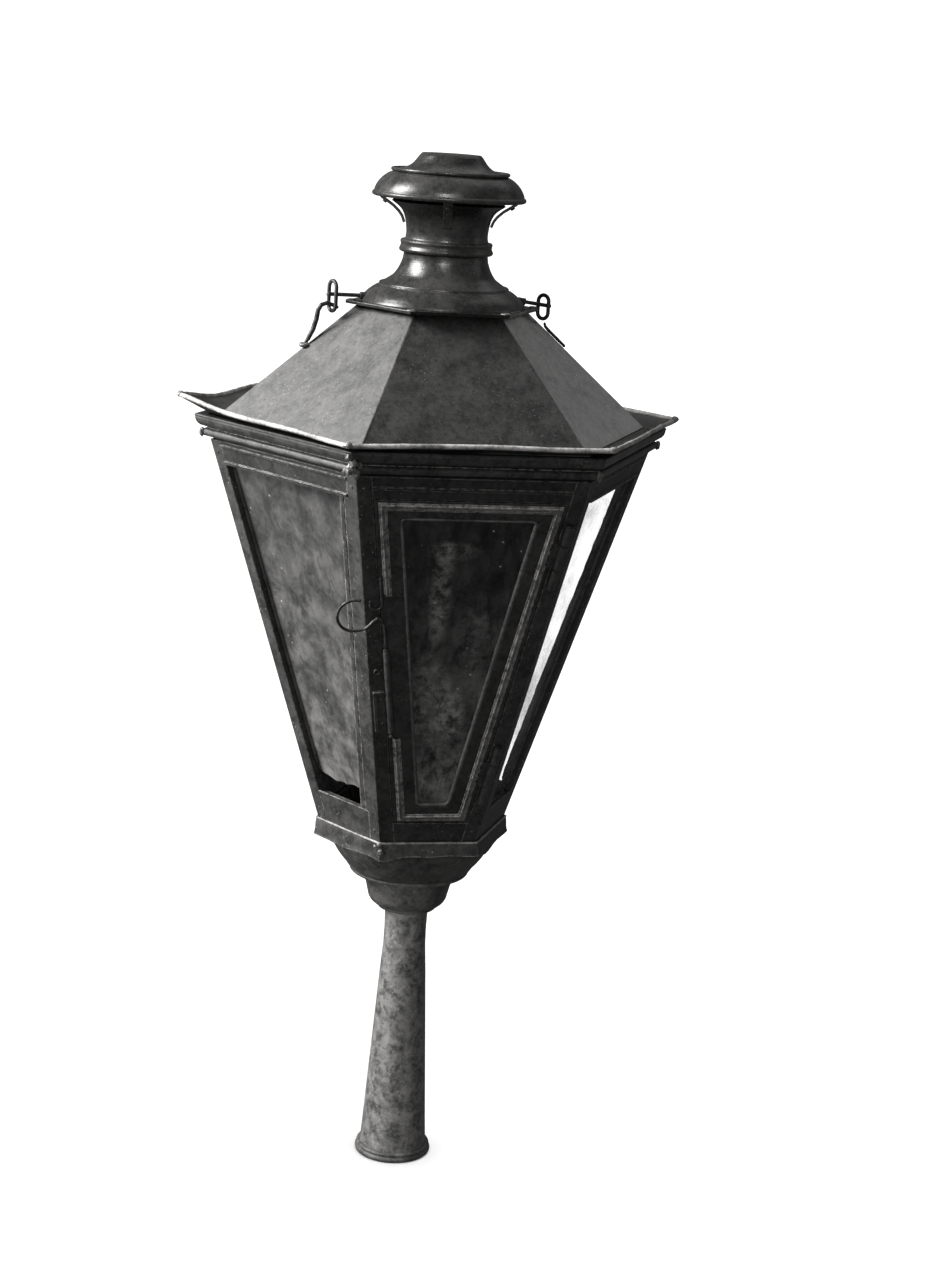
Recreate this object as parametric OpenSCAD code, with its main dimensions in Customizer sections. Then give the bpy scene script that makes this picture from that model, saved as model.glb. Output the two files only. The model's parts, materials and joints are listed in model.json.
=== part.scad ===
// Hexagonal post-top gas lantern on a socket stem, with a hinged front door.
// All sizes in mm. Foot at z = 0, the door faces -Y, the hexagon's corners lie at 0, 60, 120 degrees.

/* [Stem and socket] */
// Radius of the bore that takes the post's spigot
socket_r = 30; // [28:0.5:31]
// Depth of that bore
socket_len = 60; // [50:2:64]
// Height of the stem tube
stem_h = 284; // [240:4:360]
// Outer radius of the stem at its foot
stem_foot_r = 36; // [35:0.5:38]
// Outer radius of the stem just under the collar
stem_top_r = 23.3; // [22.5:0.1:24]
// Outer radius of the bead round the foot
foot_bead_r = 41.4; // [41.2:0.2:46]

/* [Lantern body] */
// Height of the glazed body between the base flange and the cornice
body_h = 400; // [360:10:460]
// Corner radius of the body at its bottom
body_r0 = 101.4; // [98:0.2:104]
// Corner radius of the body at its top
body_r1 = 230.4; // [220:0.2:234]
// Corner radius of the base flange
base_r = 103.4; // [102:0.2:106]
// Height of the turned-down lip of the base flange
base_lip = 19; // [12:1:20]
// Thickness of the frame sheet
sheet = 2.5; // [2:0.1:3]
// Width of each corner post's flange
post_w = 15; // [14:0.5:15.5]
// Height of the solid rail below each pane
rail_low = 33; // [28:1:38]
// Height of the frieze rail above each pane
rail_top = 24; // [20:1:25]

/* [Glass] */
// Thickness of the panes
glass_t = 3; // [2:0.1:3]
// Depth of the panes behind the face of the frame
glass_set = 8; // [7:0.5:9]
// Height of the open slot under the left front pane, whose lower edge is broken away
slot_h = 13; // [6:1:18]

/* [Door] */
// Distance from the corner line to the door's outer edge
door_in = 16; // [16:0.2:17]
// Width of the door's frame
door_w = 24; // [20:0.5:26]
// Thickness of the door's frame
door_t = 3; // [2.4:0.1:3]
// Height of the raised bead on the door
bead_h = 2.6; // [1.6:0.1:3]
// Radius of the hinge barrels
barrel_r = 4.4; // [4:0.1:4.4]
// Length of each hinge
hinge_len = 68; // [50:2:76]
// Radius of the hinge pins
hinge_pin_r = 2; // [1.6:0.1:2.2]
// Radius of the latch wire
latch_r = 1.5; // [1.2:0.1:1.7]
// Radius of the latch's wire ring
ring_r = 17; // [14:0.5:18]

/* [Cornice and roof] */
// Corner radius of the rim
rim_r = 260; // [256:1:264]
// Corner radius of the roof at its lower edge
roof_r0 = 222; // [220:0.5:224]
// Corner radius of the roof at its upper edge
roof_r1 = 86; // [84:0.5:90]
// Thickness of the roof sheet
roof_t = 1.6; // [1.2:0.1:2]

/* [Chimney and cap] */
// Corner radius of the chimney's base plate
plate_r = 100; // [99:0.5:100.5]
// Thickness of the spun sheet
spun_t = 1.6; // [1.2:0.1:2]
// Radius of the band round the neck
neck_r = 47.7; // [46.8:0.1:48.4]
// Radius of the cap's rolled rim
cap_r = 77.8; // [77:0.1:79]
// Number of straps that carry the cap
strap_n = 4; // [3:1:6]

/* [Burner] */
// Radius of the gas pipe
pipe_r = 6.5; // [5:0.5:7]
// Height of the burner cup above the base flange
burner_up = 96; // [80:2:120]
// Number of burner tips
tip_n = 3; // [2:1:5]

/* [Hidden] */
$fn = 64;
e = 0.05;
z_collar = stem_h;
z_cup = z_collar + 4;
z_ledge = z_cup + 37;
z_bowl = z_ledge + 5.5;
z_body = z_collar + 101;
z_top = z_body + body_h;
c30 = cos(30);
tilt = atan(c30*(body_r1 - body_r0)/body_h);
lean = (body_r1 - body_r0)/2/body_h*cos(tilt);
lean_a = atan(lean);
hinge_in = 9;
hinge_w = 5;
latch_in = 18.4;
latch_w = 3.4;
z_roof0 = z_top + 25.5;
z_plate = z_top + 142;
roof_rise = z_plate + 1 - z_roof0;
roof_a = atan(roof_rise/(c30*(roof_r0 - roof_r1)));
z_pin = z_plate + 8;
pin_r = 2;
z_lid = z_top + 250;
z_cock = z_body + 18;

// ---- helpers: profiles ----
function unit(v) = v/norm(v);
function side(p, i) =
  let (a = p[max(i - 1, 0)], b = p[min(i + 1, len(p) - 1)], d = unit(b - a)) [d[1], -d[0]];
function skin(p, t) =
  concat(p, [for (i = [len(p) - 1:-1:0]) [max(p[i][0] - t*side(p, i)[0], 0.01), p[i][1] - t*side(p, i)[1]]]);
function curve(a, b, c, d, t) =
  0.5*(2*b + (c - a)*t + (2*a - 5*b + 4*c - d)*t*t + (3*b - a - 3*c + d)*t*t*t);
function smooth(p, n) =
  concat([for (i = [0:len(p) - 2], j = [0:n - 1])
    curve(p[max(i - 1, 0)], p[i], p[i + 1], p[min(i + 2, len(p) - 1)], j/n)], [p[len(p) - 1]]);
function lift(p, z) = [for (q = p) [q[0], q[1] + z]];

// ---- helpers: the tilted faces. Face 0 is the door's; face k is turned by 60*k degrees ----
function vz(z) = (z - z_body)/cos(tilt);
function hw(v) = body_r0/2 + lean*v;

module wedge(k, za, zb, inset = 0) {
  rotate([0, 0, 60*k])
    translate([0, 0, za])
      linear_extrude(zb - za)
        polygon([[0, -2*inset], [-400*tan(30), -400 - 2*inset], [400*tan(30), -400 - 2*inset]]);
}

module on_face(k) {
  rotate([0, 0, 60*k])
    translate([0, -c30*body_r0, z_body])
      rotate([90 + tilt, 0, 0])
        children();
}

// a flat outline in the face's plane, from depth wa to depth wb, cut to the face's own sixth
module on_face_cut(k, za, zb, wa, wb) {
  intersection() {
    on_face(k)
      translate([0, 0, wa])
        linear_extrude(wb - wa)
          children();
    wedge(k, za, zb);
  }
}

// band between two distances from the corner line, on the right of the face
module band(da, db, va, vb) {
  polygon([[hw(va) - db, va], [hw(va) - da, va], [hw(vb) - da, vb], [hw(vb) - db, vb]]);
}

// full panel inside a distance d from both corner lines
module panel(d, va, vb) {
  polygon([[d - hw(va), va], [hw(va) - d, va], [hw(vb) - d, vb], [d - hw(vb), vb]]);
}

// straight hexagonal moulding: the outline is given as [distance from the axis, height]
module hex_ring(inset = 0) {
  for (k = [0:5])
    intersection() {
      rotate([0, 0, 60*k])
        rotate([90, 0, -90])
          linear_extrude(640, center = true)
            children();
      wedge(k, 0, 1300, inset);
    }
}

// round bar between two points
module bar(a, b, r) {
  d = b - a;
  translate(a)
    rotate([0, acos(d[2]/norm(d)), atan2(d[1], d[0])])
      cylinder(h = norm(d), r = r);
}

module wire(pts, r) {
  for (i = [0:len(pts) - 2])
    bar(pts[i], pts[i + 1], r);
  for (i = [0:len(pts) - 1])
    translate(pts[i])
      sphere(r = r + 0.06);
}

// bent rod in the XZ plane whose thickness changes: each point is [x, z, radius]
module limb(pts) {
  for (i = [0:len(pts) - 2]) {
    a = pts[i];
    b = pts[i + 1];
    d = [b[0] - a[0], 0, b[1] - a[1]];
    translate([a[0], 0, a[1]])
      rotate([0, acos(d[2]/norm(d)), d[0] < 0 ? 180 : 0])
        cylinder(h = norm(d), r1 = a[2], r2 = b[2]);
  }
  for (p = pts)
    translate([p[0], 0, p[1]])
      sphere(r = p[2] + 0.06);
}

// ---- stem ----
module stem_tube() {
  color("#4a4a4a")
    rotate_extrude()
      polygon([[socket_r, 0], [stem_foot_r, 0], [stem_foot_r, 12], [stem_foot_r - 0.6, 20],
        [24.8, stem_h - 72], [22.9, stem_h - 44], [22.6, stem_h - 24], [stem_top_r, stem_h],
        [19, stem_h], [19, socket_len + 80], [25, socket_len + 64], [25, socket_len],
        [socket_r, socket_len]]);
}

module foot_ring() {
  color("#5a5a5a")
    rotate_extrude()
      difference() {
        union() {
          translate([stem_foot_r, 0])
            square([foot_bead_r - stem_foot_r - 3, 10]);
          translate([foot_bead_r - 3, 3])
            circle(r = 3);
          translate([foot_bead_r - 3.4, 8])
            circle(r = 2);
        }
        translate([0, -1])
          square([stem_foot_r + e, 20]);
      }
}

module stem_collar() {
  color("#5a5a5a")
    rotate_extrude() {
      translate([19, z_collar])
        square([11.6, 4]);
      translate([30.6, z_collar + 1.1])
        circle(r = 1.1);
      translate([30.6, z_collar + 3])
        circle(r = 1);
    }
}

module lower_cup() {
  color("#505050")
    rotate_extrude()
      polygon(skin(lift(concat([[19.5, 0], [32, 0]],
        smooth([[36, 0.8], [39.6, 4], [42, 8], [43, 12], [44, 16], [45.2, 21], [46.8, 27],
        [47.5, 32]], 3), [[47.5, 37]]), z_cup), 2.4));
}

module ledge_ring() {
  color("#5a5a5a")
    rotate_extrude() {
      polygon(lift([[44.5, 0], [52, 0], [61, 1.8], [61, 5.5], [44.5, 5.5]], z_ledge));
      translate([61.6, z_ledge + 3])
        circle(r = 2.5);
    }
}

module upper_bowl() {
  color("#505050")
    rotate_extrude()
      polygon(skin(lift(concat([[50, 0], [62, 0]],
        smooth([[65.4, 0.6], [67, 2], [69.6, 6], [73, 10], [76.2, 14], [79, 18], [81.4, 22],
        [83.6, 26], [85.4, 30.5]], 3), [[85.6, 36], [85.6, z_body - 3 - z_bowl]]), z_bowl), 2));
}

module base_flange() {
  color("#484848")
    difference() {
      translate([0, 0, z_body - base_lip])
        cylinder(r = base_r, h = base_lip, $fn = 6);
      translate([0, 0, z_body - base_lip - 1])
        cylinder(r = base_r - 2.4, h = base_lip - 2, $fn = 6);
      translate([0, 0, z_body - 10])
        cylinder(r = pipe_r + e, h = 20);
    }
}

// ---- body frame ----
module corner_post(k) {
  v0 = -20;
  v1 = vz(z_top) + 20;
  color("#3e3e3e")
    for (s = [0, 1])
      for (f = [[0, post_w, -sheet, 0], [post_w - 2, post_w, -glass_set, -1], [0, 4, -14, -1]])
        on_face_cut(k + s, z_body, z_top, f[2], f[3])
          mirror([s, 0])
            band(f[0], f[1], v0, v1);
}

// the latch-side corner carries a wide stop over the edge of the left front pane
module corner_post_latch() {
  v0 = -20;
  v1 = vz(z_top) + 20;
  corner_post(5);
  color("#3e3e3e")
    for (f = [[post_w - 1, 20, 0], [20, 21.4, -1.2], [21.4, 27, 0]])
      on_face_cut(5, z_body + rail_low + e, z_top - rail_top - e, -sheet, f[2])
        band(f[0], f[1], v0, v1);
}

module bottom_rail(k) {
  zb = z_body + rail_low;
  on_face_cut(k, z_body, zb, -sheet, 0)
    panel(post_w, -20, vz(zb) + 20);
  on_face_cut(k, z_body, zb, -glass_set, -1)
    panel(post_w, vz(zb) - 6, vz(zb) - 3);
  on_face_cut(k, z_body, zb, -glass_set - glass_t - 1, -1)
    panel(post_w + 3, 10.6, 13.6);
}

module bottom_rails() {
  color("#3a3a3a")
    for (k = [1:5])
      bottom_rail(k);
}

module door_sill() {
  color("#3a3a3a") {
    on_face_cut(0, z_body, z_body + 22.6, -sheet, 0)
      panel(post_w, -20, vz(z_body + 60));
    on_face_cut(0, z_body, z_body + 28, -6.4, -door_t - 0.5)
      panel(post_w, vz(z_body + 14), vz(z_body + 26));
    on_face_cut(0, z_body, z_body + 28, -6.4, -1)
      panel(post_w, vz(z_body + 14), vz(z_body + 18));
  }
}

// one extruded outline, given as [distance up the face, depth]; its ends are level
module frieze(k) {
  s = tan(tilt);
  va = vz(z_top - rail_top);
  vb = vz(z_top);
  intersection() {
    on_face(k)
      rotate([90, 0, 90])
        linear_extrude(300, center = true)
          polygon([[va, 0], [va + 1, 0], [va + 1, 1.8], [va + 4, 1.8], [va + 4, 0], [vb - 6.2, 0],
            [vb - 6.2, 1.2], [vb - 3.7, 1.2], [vb - 3.7, 0], [vb, 0], [vb - sheet*s, -sheet],
            [va + 3.2, -sheet], [va + 3.2, -glass_set], [va - 1, -glass_set], [va - 1, -1/s]]);
    on_face(k)
      translate([0, 0, -glass_set - 5])
        linear_extrude(glass_set + 15)
          panel(post_w, va - 20, vb + 20);
  }
}

module frieze_rails() {
  color("#3a3a3a")
    for (k = [1:5])
      frieze(k);
}

module door_header() {
  color("#3a3a3a") {
    on_face_cut(0, z_top - rail_top + 1.6, z_top, -sheet, 0)
      panel(post_w, vz(z_top - 80), vz(z_top) + 20);
    on_face_cut(0, z_top - 60, z_top, -6.4, -door_t - 0.5)
      panel(post_w, vz(z_top - rail_top - 3), vz(z_top - rail_top + 7));
    on_face_cut(0, z_top - 60, z_top, -6.4, -1)
      panel(post_w, vz(z_top - rail_top + 4), vz(z_top - rail_top + 7));
    on_face_cut(0, z_top - 60, z_top, -1, 1.4)
      panel(post_w, vz(z_top - rail_top + 11), vz(z_top - rail_top + 14));
  }
}

module door_stops() {
  color("#343434")
    for (s = [0, 1])
      on_face_cut(0, z_body + 32, z_top - rail_top - 5, -6.4, -door_t - 0.5)
        mirror([s, 0])
          band(post_w, post_w + 8, 0, vz(z_top));
}

module pane(k, za) {
  color("#b8c4c4")
    on_face_cut(k, za, z_top - rail_top + 8, -glass_set - glass_t, -glass_set)
      panel(4.6, vz(za) - 20, vz(z_top));
}

// ---- cornice, rim and roof ----
module cornice_lower() {
  b = c30*body_r1;
  color("#464646")
    hex_ring()
      translate([b, z_top]) {
        translate([4.5, 7.1])
          difference() {
            circle(r = 3.9);
            circle(r = 2.5);
          }
        translate([-7.6, 0])
          square([2.4, 12.8]);
        polygon([[-5.4, 1], [-3, 1], [2.6, 4], [2.2, 5.6], [-5.4, 2.6]]);
        polygon([[-5.4, 11.2], [3.4, 10.4], [3.6, 12], [-5.4, 12.8]]);
      }
}

module cornice_upper() {
  b = c30*body_r1;
  color("#464646")
    hex_ring()
      translate([b, z_top]) {
        polygon([[-7.6, 13], [6, 13], [9, 14], [11.4, 15.6], [13.2, 18], [14.2, 21], [14.4, 24.4],
          [12.8, 24.4], [12.6, 21.4], [11.8, 18.9], [10.4, 17], [8.4, 15.5], [5.8, 14.6],
          [-7.6, 14.6]]);
        translate([13.4, 24.2])
          circle(r = 1.5);
        polygon([[13.4, 24], [13.4, 25.6], [4, 25.4], [4, 23.8]]);
      }
}

module rim_gutter() {
  a = c30*rim_r - 2.6;
  b = c30*body_r1;
  color("#4c4c4c")
    hex_ring() {
      translate([a, z_top + 34.6])
        difference() {
          circle(r = 2.6);
          circle(r = 1.2);
        }
      polygon([[c30*roof_r0 - 1, z_top + 22.6], [b + 1.2, z_top + 24.9], [b + 8, z_top + 27.4],
        [a - 1, z_top + 32.2], [a - 1.8, z_top + 33.8], [b + 7, z_top + 29.4],
        [b, z_top + 26.9], [c30*roof_r0 - 1, z_top + 24.6]]);
    }
}

module roof_panels() {
  color("#404040")
    for (k = [0:5])
      intersection() {
        rotate([0, 0, 60*k])
          translate([0, -c30*roof_r0, z_roof0])
            rotate([roof_a, 0, 0])
              translate([-200, -6, -roof_t])
                cube([400, 260, roof_t]);
        wedge(k, z_roof0, z_plate - 0.6, 0.15);
      }
}

// ---- chimney and cap ----
module chimney_plate() {
  color("#505050")
    difference() {
      translate([0, 0, z_plate])
        cylinder(r = plate_r, h = 3, $fn = 6);
      translate([0, 0, z_plate - 1])
        cylinder(r = 74, h = 10);
    }
}

dome_line = concat([[84, 0], [84, 1]], smooth([[83.3, 2.6], [81.6, 5], [79.6, 7.6], [76.6, 10.6],
  [73, 13.4], [69, 16], [64.6, 17.8]], 3));

module chimney_dome() {
  color("#6a6a6a")
    difference() {
      rotate_extrude() {
        polygon(skin(lift(dome_line, z_plate + 3), spun_t));
        translate([64, z_plate + 21])
          circle(r = 2.1);
        polygon(skin(lift(smooth([[63.6, 22.4], [57.8, 26.2], [52, 30.4], [48.2, 35.6], [45.6, 40.8],
          [43.4, 47.1], [42.5, 54]], 3), z_plate), spun_t));
      }
      for (s = [-1, 1])
        bar(pin_at(s, 70), pin_at(s, 100), pin_r + e);
    }
}

module neck_ring() {
  color("#747474")
    rotate_extrude()
      polygon(lift([[41, 54.1], [neck_r - 2, 54.1], [neck_r - 0.4, 55.2], [neck_r, 57],
        [neck_r - 0.7, 58.6], [neck_r - 1.5, 60.2], [neck_r - 1.6, 62.2], [neck_r - 1.1, 63.6],
        [neck_r - 0.9, 65], [neck_r - 1.8, 66.3], [41, 66.3]], z_plate));
}

module chimney_trumpet() {
  color("#6a6a6a")
    rotate_extrude()
      polygon(skin(lift(concat([[42.2, 66.4], [42.2, 67.2]], smooth([[41.8, 68.6], [41.3, 72.8],
        [41.7, 78], [42.5, 84], [44.2, 90], [46.9, 95.2], [51, 99.2], [57.4, 103.6]], 3)),
        z_plate), spun_t));
}

strap_line = [[45.1, 82], [47.4, 88], [50.6, 92.3], [56.2, 97.4], [62.7, 101.7], [68.5, 105.4],
  [71.8, 110], [73, 115.8], [71, 119.8]];

module cap_straps() {
  color("#707070")
    for (i = [0:strap_n - 1])
      rotate([0, 0, -102.3 + i*360/strap_n])
        rotate([90, 0, 0])
          linear_extrude(9, center = true)
            polygon(skin(lift(strap_line, z_plate), 2.6));
}

module cap_rivets() {
  color("#8a8a8a")
    for (i = [0:strap_n - 1])
      rotate([0, 0, -102.3 + i*360/strap_n])
        translate([64.23, 0, z_plate + 102.61])
          rotate([0, 147.5, 0])
            cylinder(h = 1.6, r = 2.3);
}

module cap_dome() {
  color("#6a6a6a")
    rotate_extrude() {
      translate([cap_r - 2.6, z_lid + 2.6])
        difference() {
          circle(r = 2.6);
          circle(r = 1.1);
        }
      polygon(skin(lift(smooth([[76, 4.6], [74.9, 8.6], [72.6, 13], [69.3, 17.2], [65.8, 20.4],
        [62, 23], [57.6, 24.9]], 3), z_lid), spun_t));
    }
}

module cap_crown() {
  color("#747474")
    rotate_extrude() {
      translate([58.2, z_lid + 27])
        circle(r = 1.8);
      polygon(skin(lift(concat(smooth([[57.4, 27], [50.5, 28.2], [43, 30.6], [38.4, 33.8],
        [35, 37.8], [32, 42]], 3), [[29.6, 44.4], [0.01, 44.4]]), z_lid), spun_t));
    }
}

// ---- hinges ----
module at_hinge(v) {
  on_face(0)
    translate([hw(v) - hinge_in, v, hinge_w])
      rotate([0, 0, -lean_a])
        children();
}

function hinge_v(i) = i == 0 ? vz(z_top - 77) : vz(z_body + 81);

module barrel(y0, y1, r) {
  translate([0, y0, 0])
    rotate([-90, 0, 0])
      cylinder(h = y1 - y0, r = r);
}

module hinge_leaf(v) {
  h = hinge_len/2;
  color("#4e4e4e")
    at_hinge(v)
      difference() {
        union() {
          for (s = [-1, 1])
            barrel(min(s*14, s*h), max(s*14, s*h), barrel_r);
          for (s = [-1, 1])
            translate([-2, min(s*14, s*h), -hinge_w])
              cube([6, h - 14, 3.4]);
          translate([3.2, -h, -hinge_w])
            cube([4.6, 2*h, 1.4]);
        }
        barrel(-h - 1, h + 1, hinge_pin_r + e);
      }
}

module hinge_strap(v) {
  color("#4e4e4e")
    at_hinge(v)
      difference() {
        union() {
          barrel(-13, 13, barrel_r);
          translate([-10.4, -13, -hinge_w + 0.6])
            cube([9.4, 26, 1.6]);
          translate([-10.4, -13, -hinge_w])
            cube([3, 26, 2]);
        }
        barrel(-14, 14, hinge_pin_r + e);
      }
}

module hinge_pins() {
  h = hinge_len/2;
  color("#8a8a8a")
    for (i = [0, 1])
      at_hinge(hinge_v(i)) {
        barrel(-h - 1.4, h + 1.4, hinge_pin_r);
        barrel(h, h + 1.8, 3.4);
        barrel(-h - 1.8, -h, 3.2);
      }
}

// ---- door ----
door_va = vz(z_body + 23.6);
door_vb = vz(z_top - rail_top + 0.6);

module door_frame() {
  color("#363636")
    on_face(0)
      translate([0, 0, -door_t])
        linear_extrude(door_t)
          difference() {
            panel(door_in, door_va, door_vb);
            panel(door_in + door_w, door_va + 19, door_vb - 19);
          }
}

module door_bead() {
  color("#424242")
    on_face(0)
      difference() {
        union() {
          for (b = [[4, 8, 1.2], [6, 4, bead_h]])
            linear_extrude(b[2])
              difference() {
                panel(door_in + b[0], door_va + b[0] - 1.6, door_vb - b[0] + 1.6);
                panel(door_in + b[0] + b[1], door_va + b[0] + b[1] - 1.6,
                  door_vb - b[0] - b[1] + 1.6);
              }
        }
        translate([-140, vz(z_body + 121), -1])
          cube([110, vz(z_body + 278) - vz(z_body + 121), 10]);
      }
}

module door_glass() {
  color("#6c7474")
    on_face(0)
      translate([0, 0, -door_t - glass_t])
        linear_extrude(glass_t)
          panel(door_in + door_w - 6, door_va + 13, door_vb - 13);
}

module glass_tabs() {
  color("#565656")
    for (s = [0, 1])
      for (z = [z_body + 90, z_top - 90])
        on_face(0)
          mirror([s, 0, 0])
            translate([hw(vz(z)) - door_in - door_w + 2, vz(z), 0]) {
              translate([0, -6, -door_t - glass_t - 1.5])
                cube([10, 12, 1.5]);
              translate([6.4, -6, -door_t - glass_t - 1.5])
                cube([3.6, 12, glass_t + 1.5]);
            }
}

// ---- latch ----
module at_latch(v) {
  on_face(0)
    translate([latch_in - hw(v), v, latch_w])
      rotate([0, 0, lean_a])
        children();
}

latch_v = vz(z_body + 175);
tube_len = 94;

module latch_tube() {
  color("#4c4c4c")
    at_latch(latch_v)
      difference() {
        union() {
          barrel(-tube_len/2, tube_len/2, 3.2);
          translate([-2.2, -tube_len/2, -latch_w])
            cube([5.6, tube_len, 2.2]);
        }
        barrel(-tube_len/2 - 1, tube_len/2 + 1, latch_r + 0.07);
      }
}

module latch_wire() {
  h = tube_len/2;
  top = h + 30;
  ring_x = -29;
  ring_y = h + 29.5 + ring_r;
  color("#9a9a9a")
    at_latch(latch_v) {
      barrel(-h - 4, top - 4, latch_r);
      translate([0, -h - 4.6, 0])
        sphere(r = 2.4);
      barrel(h + 0.3, h + 2.6, 3);
      wire([[0, top - 4, 0], [-0.8, top + 2, 0.2], [-3, top + 6.6, 0.8], [-7.2, top + 8.8, 1.6],
        [-11, top + 7, 2.4], [-15.4, top + 3, 3], [-20, top + 0.3, 3.3], [-24.6, top - 0.4, 3.4],
        [ring_x, ring_y - ring_r, 3.4]], latch_r);
      translate([ring_x, ring_y, 3.4]) {
        rotate([0, 0, 70])
          rotate_extrude(angle = 200)
            translate([ring_r, 0])
              circle(r = latch_r);
        rotate([0, 0, 70])
          translate([ring_r, 0, 0])
            sphere(r = latch_r + 0.3);
      }
    }
}

// rides on the door: the door's bead ends in a wire turned back over the post
module keeper_clip() {
  z = z_body + 269;
  color("#7c7c7c")
    on_face(0)
      translate([11.8 - hw(vz(z)), vz(z), 1.5 + e])
        rotate([0, 0, lean_a]) {
          barrel_at(5.8, 0, 29, 1.5);
          barrel_at(-5.8, 0, 5, 1.5);
          rotate([0, 0, 180])
            rotate_extrude(angle = 180)
              translate([5.8, 0])
                circle(r = 1.5);
        }
}

module barrel_at(x, y0, y1, r) {
  translate([x, 0, 0])
    barrel(y0, y1, r);
}

module keeper_eye() {
  z = z_body + 196;
  color("#8c8c8c")
    on_face(0)
      translate([8.6 - hw(vz(z)), vz(z), e]) {
        cylinder(h = 1.2, r = 3.8);
        translate([0, 0, 1.6])
          rotate_extrude()
            translate([2.6, 0])
              circle(r = 1.1);
      }
}

module keeper_plate() {
  z = z_body + 153;
  color("#5e5e5e")
    on_face(0)
      translate([8.4 - hw(vz(z)), vz(z), 0])
        rotate([0, 0, lean_a])
          difference() {
            union() {
              translate([-5.6, -23, 0])
                cube([11.2, 46, 1.6]);
              translate([-5.6, -23, 0])
                cube([3.4, 45, 3.2]);
              translate([-5.6, 20.8, 0])
                cube([11.2, 2.2, 4]);
            }
            for (s = [-1, 1])
              translate([1.4, s*14, -1])
                cylinder(h = 6, r = 1.6);
          }
}

// ---- chimney pins, links and hooks: side 1 is the right (+X), side -1 the left ----
// a point on the pin's line: the left pin is level, the right one slopes down
function pin_at(s, x) = [s*x, 0, z_pin + (s > 0 ? 1.9 - 0.12286*(x - 76) : 0)];

module pin_lugs() {
  color("#5c5c5c")
    for (s = [-1, 1])
      difference() {
        bar(pin_at(s, 78), pin_at(s, 85.6), 3.7);
        translate([0, 0, z_plate + 3])
          rotate_extrude()
            polygon(concat([[0.01, -9]], [[84.3, -9]], [for (p = dome_line) [p[0] + 0.3, p[1]]],
              [[0.01, 17.8]]));
        bar(pin_at(s, 70), pin_at(s, 100), pin_r + e);
      }
}

module cotter(s, x_end, knob_r) {
  bar(pin_at(s, 76), pin_at(s, x_end), pin_r);
  translate(pin_at(s, x_end))
    sphere(r = knob_r);
}

module cotter_left() {
  color("#969696")
    cotter(-1, 117, 2.9);
}

module cotter_right() {
  color("#969696")
    cotter(1, 111, 2.5);
}

// oval wire link: half is its half height, w the half distance between its two strands
module link(x, drop, turn, half, w) {
  color("#8e8e8e")
    translate([x, 0, z_pin - drop])
      rotate([0, 0, turn])
        rotate([90, 0, 90]) {
          for (s = [-1, 1])
            barrel_at(s*w, w + 2 - half, half - w - 2, 2);
          for (s = [0, 1])
            mirror([0, s, 0])
              translate([0, half - w - 2, 0])
                rotate_extrude(angle = 180)
                  translate([w, 0])
                    circle(r = 2);
        }
}

module link_left() {
  link(-113.5, 1.6, 24, 17, 6.6);
}

module link_right() {
  link(105, 3.6, 44, 14, 6.2);
}

// the left hook stands up through its link, the right one lies along the roof's corner
module roof_hooks() {
  color("#8a8a8a")
    translate([0, 0, z_pin]) {
      limb([[-140.5, -52.4, 0.9], [-136, -45.2, 2.3], [-131.6, -36, 2.5], [-128.6, -25, 2.5],
        [-127.4, -16.5, 2.4], [-124.4, -11.2, 2.2], [-119, -9, 2], [-113.5, -10.4, 2],
        [-108.4, -12.8, 1.7]]);
      limb([[130, -42.6, 1.5], [112, -27, 1.7], [108.6, -23.4, 1.5], [107.8, -20.6, 1.3]]);
    }
}

// ---- gas pipe, cock and burner ----
module supply_pipe() {
  color("#8d7a45")
    difference() {
      union() {
        translate([0, 0, z_body - 235])
          cylinder(h = z_cock - z_body + 235, r = pipe_r);
        translate([0, 0, z_body])
          cylinder(h = 5, r = 14, $fn = 6);
      }
      translate([0, 0, z_body - 240])
        cylinder(h = 300, r = pipe_r - 2.4);
    }
}

module cock_body() {
  color("#a08a4c")
    difference() {
      union() {
        translate([0, 0, z_cock])
          cylinder(h = 5, r = 10, $fn = 6);
        translate([0, 0, z_cock + 19])
          cylinder(h = 5, r = 10, $fn = 6);
        translate([0, 0, z_cock])
          cylinder(h = 24, r = 7.6);
        translate([0, 11, z_cock + 12])
          rotate([90, 0, 0])
            cylinder(h = 22, r = 8);
      }
      translate([0, 12, z_cock + 12])
        rotate([90, 0, 0])
          cylinder(h = 24, r = 4.5 + e);
      translate([0, 0, z_cock - 1])
        cylinder(h = 5, r = 3);
      translate([0, 0, z_cock + 20])
        cylinder(h = 5, r = 3);
    }
}

module cock_lever() {
  color("#a8924e")
    union() {
      translate([0, 11.6, z_cock + 12])
        rotate([90, 0, 0])
          cylinder(h = 27.2, r = 4.5);
      translate([0, 14, z_cock + 12])
        rotate([90, 0, 0])
          cylinder(h = 2.4, r = 6);
      translate([0, -12, z_cock + 12])
        rotate([90, 0, 0])
          cylinder(h = 3.6, r = 6);
      translate([-36, -15.6, z_cock + 9])
        cube([72, 3.6, 6]);
      for (s = [-1, 1])
        translate([s*36, -12, z_cock + 12])
          rotate([90, 0, 0])
            difference() {
              cylinder(h = 3.6, r = 6.5);
              translate([0, 0, -1])
                cylinder(h = 6, r = 3);
            }
    }
}

module burner_cup() {
  z = z_body + burner_up;
  color("#a08a4c")
    difference() {
      union() {
        translate([0, 0, z_cock + 24])
          cylinder(h = z - z_cock - 24, r = 5);
        translate([0, 0, z])
          rotate_extrude()
            polygon([[0.01, 0], [7, 0], [16, 5], [24, 7], [25, 12], [22, 12], [21, 8.8], [0.01, 8.8]]);
      }
      translate([0, 0, z_cock])
        cylinder(h = z - z_cock, r = 3);
    }
}

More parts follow.
